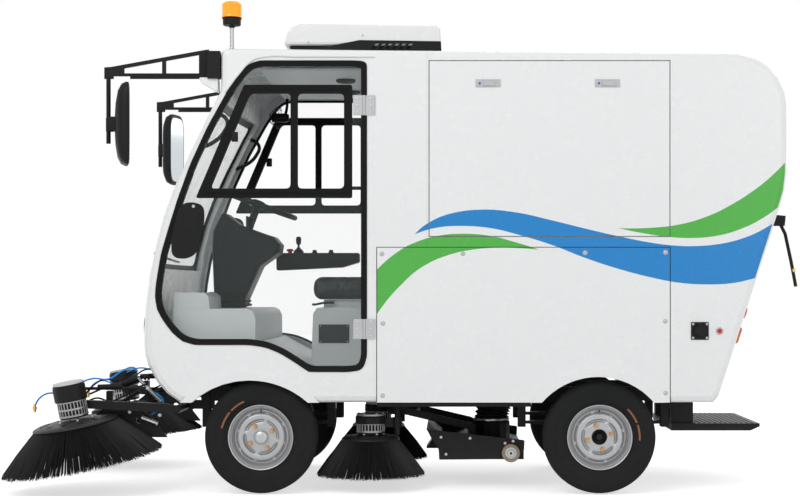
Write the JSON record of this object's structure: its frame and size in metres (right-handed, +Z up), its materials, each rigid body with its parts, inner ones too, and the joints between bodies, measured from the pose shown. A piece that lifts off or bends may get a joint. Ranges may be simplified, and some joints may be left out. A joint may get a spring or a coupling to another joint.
{
  "type": "street sweeper",
  "caption": "Compact electric street sweeper with glass cab doors, side brushes on lifting arms, middle brushes, a suction nozzle and a closed load body.",
  "frame": {"origin": "on the ground under the middle of the vehicle's overall length and width", "axes": "+X forward, +Y to the vehicle's left, +Z up"},
  "size_m": [3.889, 1.9862, 2.386],
  "materials": {
    "white_paint": "gloss",
    "grey_panel": "matte",
    "black_plastic": "satin",
    "black_paint": "satin",
    "black_rubber": "matte",
    "seat_vinyl": "satin",
    "rim_silver": "satin",
    "cast_steel": "rough",
    "bristle": "matte",
    "clear_glass": "clear",
    "lamp_lens": "gloss",
    "amber_lens": "gloss",
    "tyre_black": "matte"
  },
  "bodies": {
    "chassis": {"chassis_frame": "black_paint", "front_axle": "black_paint", "rear_axle": "black_paint", "cab_shell": "white_paint", "body_shell": "white_paint", "side_panel_left": "white_paint", "side_panel_right": "white_paint", "windscreen": "clear_glass", "headlamp_left": "lamp_lens", "headlamp_right": "lamp_lens", "cab_floor": "grey_panel", "dash_box": "grey_panel", "steering_column": "black_plastic", "control_panel": "black_plastic", "seat_cushion": "seat_vinyl", "seat_back": "seat_vinyl", "battery_pack": "black_plastic", "roof_unit_base": "black_plastic", "roof_unit_cover": "white_paint", "beacon_mast": "black_plastic", "beacon_lens": "amber_lens", "mirror_left": "black_plastic", "mirror_right": "black_plastic", "rear_step": "black_paint", "spray_lance": "black_plastic", "suction_hose": "black_rubber"},
    "cab_door_left": {"cab_door_left": "black_rubber", "door_glass_left": "clear_glass"},
    "service_door_left": {"service_door_left": "white_paint"},
    "knuckle_left": {"knuckle_left": "cast_steel"},
    "wheel_front_left": {"rim_front_left": "rim_silver", "tyre_front_left": "tyre_black"},
    "wheel_rear_left": {"rim_rear_left": "rim_silver", "tyre_rear_left": "tyre_black"},
    "front_arm_left": {"front_arm_left": "black_paint"},
    "front_brush_left": {"front_brush_left": "bristle"},
    "mid_arm_left": {"mid_arm_left": "black_paint"},
    "mid_brush_left": {"mid_brush_left": "bristle"},
    "nozzle_wheel_left": {"nozzle_wheel_left": "black_rubber"},
    "cab_door_right": {"cab_door_right": "black_rubber", "door_glass_right": "clear_glass"},
    "service_door_right": {"service_door_right": "white_paint"},
    "knuckle_right": {"knuckle_right": "cast_steel"},
    "wheel_front_right": {"rim_front_right": "rim_silver", "tyre_front_right": "tyre_black"},
    "wheel_rear_right": {"rim_rear_right": "rim_silver", "tyre_rear_right": "tyre_black"},
    "front_arm_right": {"front_arm_right": "black_paint"},
    "front_brush_right": {"front_brush_right": "bristle"},
    "mid_arm_right": {"mid_arm_right": "black_paint"},
    "mid_brush_right": {"mid_brush_right": "bristle"},
    "nozzle_wheel_right": {"nozzle_wheel_right": "black_rubber"},
    "rear_hatch": {"rear_hatch": "white_paint"},
    "steering_wheel": {"steering_wheel": "black_plastic"},
    "nozzle_link": {"nozzle_link": "black_paint"},
    "suction_nozzle": {"suction_nozzle": "black_paint"}
  },
  "joints": [
    {"name": "steer_left", "type": "hinge", "parent": "chassis", "child": "knuckle_left", "pos_m": [0.6805, 0.5, 0.276], "axis": [0, 0, 1], "range_deg": [-35, 35]},
    {"name": "spin_front_left", "type": "hinge", "parent": "knuckle_left", "child": "wheel_front_left", "pos_m": [0.6805, 0.6125, 0.276], "axis": [0, 1, 0], "continuous": true},
    {"name": "spin_rear_left", "type": "hinge", "parent": "chassis", "child": "wheel_rear_left", "pos_m": [-0.9545, 0.6125, 0.276], "axis": [0, 1, 0], "continuous": true},
    {"name": "cab_door_left_hinge", "type": "hinge", "parent": "chassis", "child": "cab_door_left", "pos_m": [0.17934, 0.7085, 0.7994], "axis": [0, 0, 1], "range_deg": [0, 80]},
    {"name": "service_door_left_hinge", "type": "hinge", "parent": "chassis", "child": "service_door_left", "pos_m": [-0.7101, 0.7, 1.2433], "axis": [-1, 0, 0], "range_deg": [0, 95]},
    {"name": "front_arm_left_lift", "type": "hinge", "parent": "chassis", "child": "front_arm_left", "pos_m": [1.1, 0.42, 0.405], "axis": [0, -1, 0], "range_deg": [-5, 10]},
    {"name": "front_brush_left_spin", "type": "hinge", "parent": "front_arm_left", "child": "front_brush_left", "pos_m": [1.553, 0.6, 0.151], "axis": [0.1681, 0.0688, 0.9834], "continuous": true},
    {"name": "mid_arm_left_lift", "type": "slide", "parent": "chassis", "child": "mid_arm_left", "axis": [0, 0, -1], "range_m": [0, 0.055]},
    {"name": "mid_brush_left_spin", "type": "hinge", "parent": "mid_arm_left", "child": "mid_brush_left", "pos_m": [0.162, 0.42, 0.07], "axis": [0, 0, 1], "continuous": true},
    {"name": "nozzle_wheel_left_spin", "type": "hinge", "parent": "suction_nozzle", "child": "nozzle_wheel_left", "pos_m": [-0.535, 0.44, 0.178], "axis": [0, 1, 0], "continuous": true},
    {"name": "steer_right", "type": "hinge", "parent": "chassis", "child": "knuckle_right", "pos_m": [0.6805, -0.5, 0.276], "axis": [0, 0, 1], "range_deg": [-35, 35]},
    {"name": "spin_front_right", "type": "hinge", "parent": "knuckle_right", "child": "wheel_front_right", "pos_m": [0.6805, -0.6125, 0.276], "axis": [0, 1, 0], "continuous": true},
    {"name": "spin_rear_right", "type": "hinge", "parent": "chassis", "child": "wheel_rear_right", "pos_m": [-0.9545, -0.6125, 0.276], "axis": [0, 1, 0], "continuous": true},
    {"name": "cab_door_right_hinge", "type": "hinge", "parent": "chassis", "child": "cab_door_right", "pos_m": [0.17934, -0.7085, 0.7994], "axis": [0, 0, -1], "range_deg": [0, 80]},
    {"name": "service_door_right_hinge", "type": "hinge", "parent": "chassis", "child": "service_door_right", "pos_m": [-0.7101, -0.7, 1.2433], "axis": [1, 0, 0], "range_deg": [0, 95]},
    {"name": "front_arm_right_lift", "type": "hinge", "parent": "chassis", "child": "front_arm_right", "pos_m": [1.1, -0.42, 0.405], "axis": [0, -1, 0], "range_deg": [-5, 10]},
    {"name": "front_brush_right_spin", "type": "hinge", "parent": "front_arm_right", "child": "front_brush_right", "pos_m": [1.553, -0.6, 0.151], "axis": [0.1681, -0.0688, 0.9834], "continuous": true},
    {"name": "mid_arm_right_lift", "type": "slide", "parent": "chassis", "child": "mid_arm_right", "axis": [0, 0, -1], "range_m": [0, 0.055]},
    {"name": "mid_brush_right_spin", "type": "hinge", "parent": "mid_arm_right", "child": "mid_brush_right", "pos_m": [0.162, -0.42, 0.07], "axis": [0, 0, 1], "continuous": true},
    {"name": "nozzle_wheel_right_spin", "type": "hinge", "parent": "suction_nozzle", "child": "nozzle_wheel_right", "pos_m": [-0.535, -0.44, 0.178], "axis": [0, 1, 0], "continuous": true},
    {"name": "steering_wheel_turn", "type": "hinge", "parent": "chassis", "child": "steering_wheel", "pos_m": [0.7765, 0, 1.4386], "axis": [-0.342, 0, 0.9397], "range_deg": [-490, 490]},
    {"name": "rear_hatch_hinge", "type": "hinge", "parent": "chassis", "child": "rear_hatch", "pos_m": [-1.8189, 0, 1.385], "axis": [0, 1, 0], "range_deg": [0, 75]},
    {"name": "nozzle_link_lift", "type": "hinge", "parent": "chassis", "child": "nozzle_link", "pos_m": [0.059, 0, 0.385], "axis": [0, -1, 0], "range_deg": [0, 19]},
    {"name": "nozzle_level", "type": "hinge", "parent": "nozzle_link", "child": "suction_nozzle", "pos_m": [-0.345, 0, 0.29], "axis": [0, -1, 0], "range_deg": [-19, 0]}
  ],
  "couplings": [
    {"joint": "steer_right", "follows": "steer_left", "ratio": 1},
    {"joint": "steering_wheel_turn", "follows": "steer_left", "ratio": 14},
    {"joint": "nozzle_level", "follows": "nozzle_link_lift", "ratio": -1}
  ]
}
